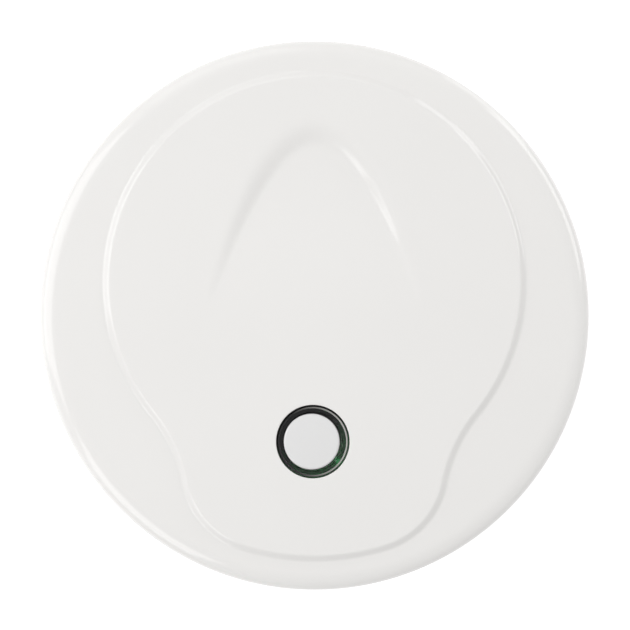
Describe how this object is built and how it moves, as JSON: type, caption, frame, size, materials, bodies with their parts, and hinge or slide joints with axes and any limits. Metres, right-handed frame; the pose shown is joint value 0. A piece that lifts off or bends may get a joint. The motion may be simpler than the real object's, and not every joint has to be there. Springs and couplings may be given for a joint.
{
  "type": "smoke detector",
  "caption": "Round white ceiling smoke alarm with a raised glossy panel, a scooped recess, a ringed test button, side inlets and a twist-off mounting plate.",
  "frame": {"origin": "centre of the mounting plate's back face, on the ceiling plane", "axes": "+Z out of the alarm's face, away from the ceiling; +Y towards the crown of the scooped recess, so the test button lies on -Y; +X to the right seen from the front"},
  "size_m": [0.116, 0.116, 0.041],
  "materials": {
    "gloss_white": "high gloss, warm white",
    "cap_white": "gloss, neutral white",
    "satin_white": "satin",
    "clear": "clear smoky plastic",
    "black_plastic": "fine matt",
    "grey_plastic": "matt",
    "board_green": "solder mask over laminate",
    "steel": "plated",
    "brass": "rolled",
    "copper": "enamelled winding",
    "ceramic": "fired",
    "cell_wrap": "shrink sleeve"
  },
  "bodies": {
    "mounting_plate": {"mounting_plate": "satin_white"},
    "head": {"rear_housing": "gloss_white", "inlet_grille": "satin_white", "insect_screen": "steel", "front_cover": "gloss_white", "circuit_board": "board_green", "microcontroller": "black_plastic", "capacitor_left": "steel", "capacitor_right": "steel", "boost_coil": "copper", "status_led_left": "ceramic", "status_led_right": "ceramic", "chamber_base": "black_plastic", "infrared_emitter": "clear", "photodiode": "black_plastic", "labyrinth_ring": "black_plastic", "chamber_lid": "black_plastic", "sounder_seat": "black_plastic", "piezo_disc": "brass", "piezo_ceramic": "ceramic", "sounder_resonator": "black_plastic", "battery_cell": "cell_wrap", "battery_tab_negative": "steel", "battery_tab_positive": "steel", "button_spring": "steel", "switch_body": "black_plastic", "power_switch": "grey_plastic", "case_screw_1": "steel", "case_screw_2": "steel", "case_screw_3": "steel"},
    "test_button": {"button_lens": "clear", "button_cap": "cap_white"},
    "switch_plunger": {"switch_plunger": "grey_plastic"},
    "power_slider": {"power_slider": "black_plastic"}
  },
  "joints": [
    {"name": "head_twist", "type": "hinge", "parent": "mounting_plate", "child": "head", "pos_m": [0, 0, 0.0052], "axis": [0, 0, 1], "range_deg": [0, 20]},
    {"name": "button_press", "type": "slide", "parent": "head", "child": "test_button", "axis": [0, 0, -1], "range_m": [0, 0.0006], "stiffness_N_per_m": 5000, "springref_m": -0.0004, "deforming": ["button_spring"]},
    {"name": "plunger_press", "type": "slide", "parent": "head", "child": "switch_plunger", "axis": [0, 0, -1], "range_m": [0, 0.0006]},
    {"name": "power_slide", "type": "hinge", "parent": "head", "child": "power_slider", "pos_m": [0, 0, 0.01], "axis": [0, 0, 1], "range_deg": [-20, 0]}
  ],
  "couplings": [
    {"joint": "plunger_press", "follows": "button_press", "ratio": 1},
    {"joint": "power_slide", "follows": "head_twist", "ratio": -1}
  ]
}
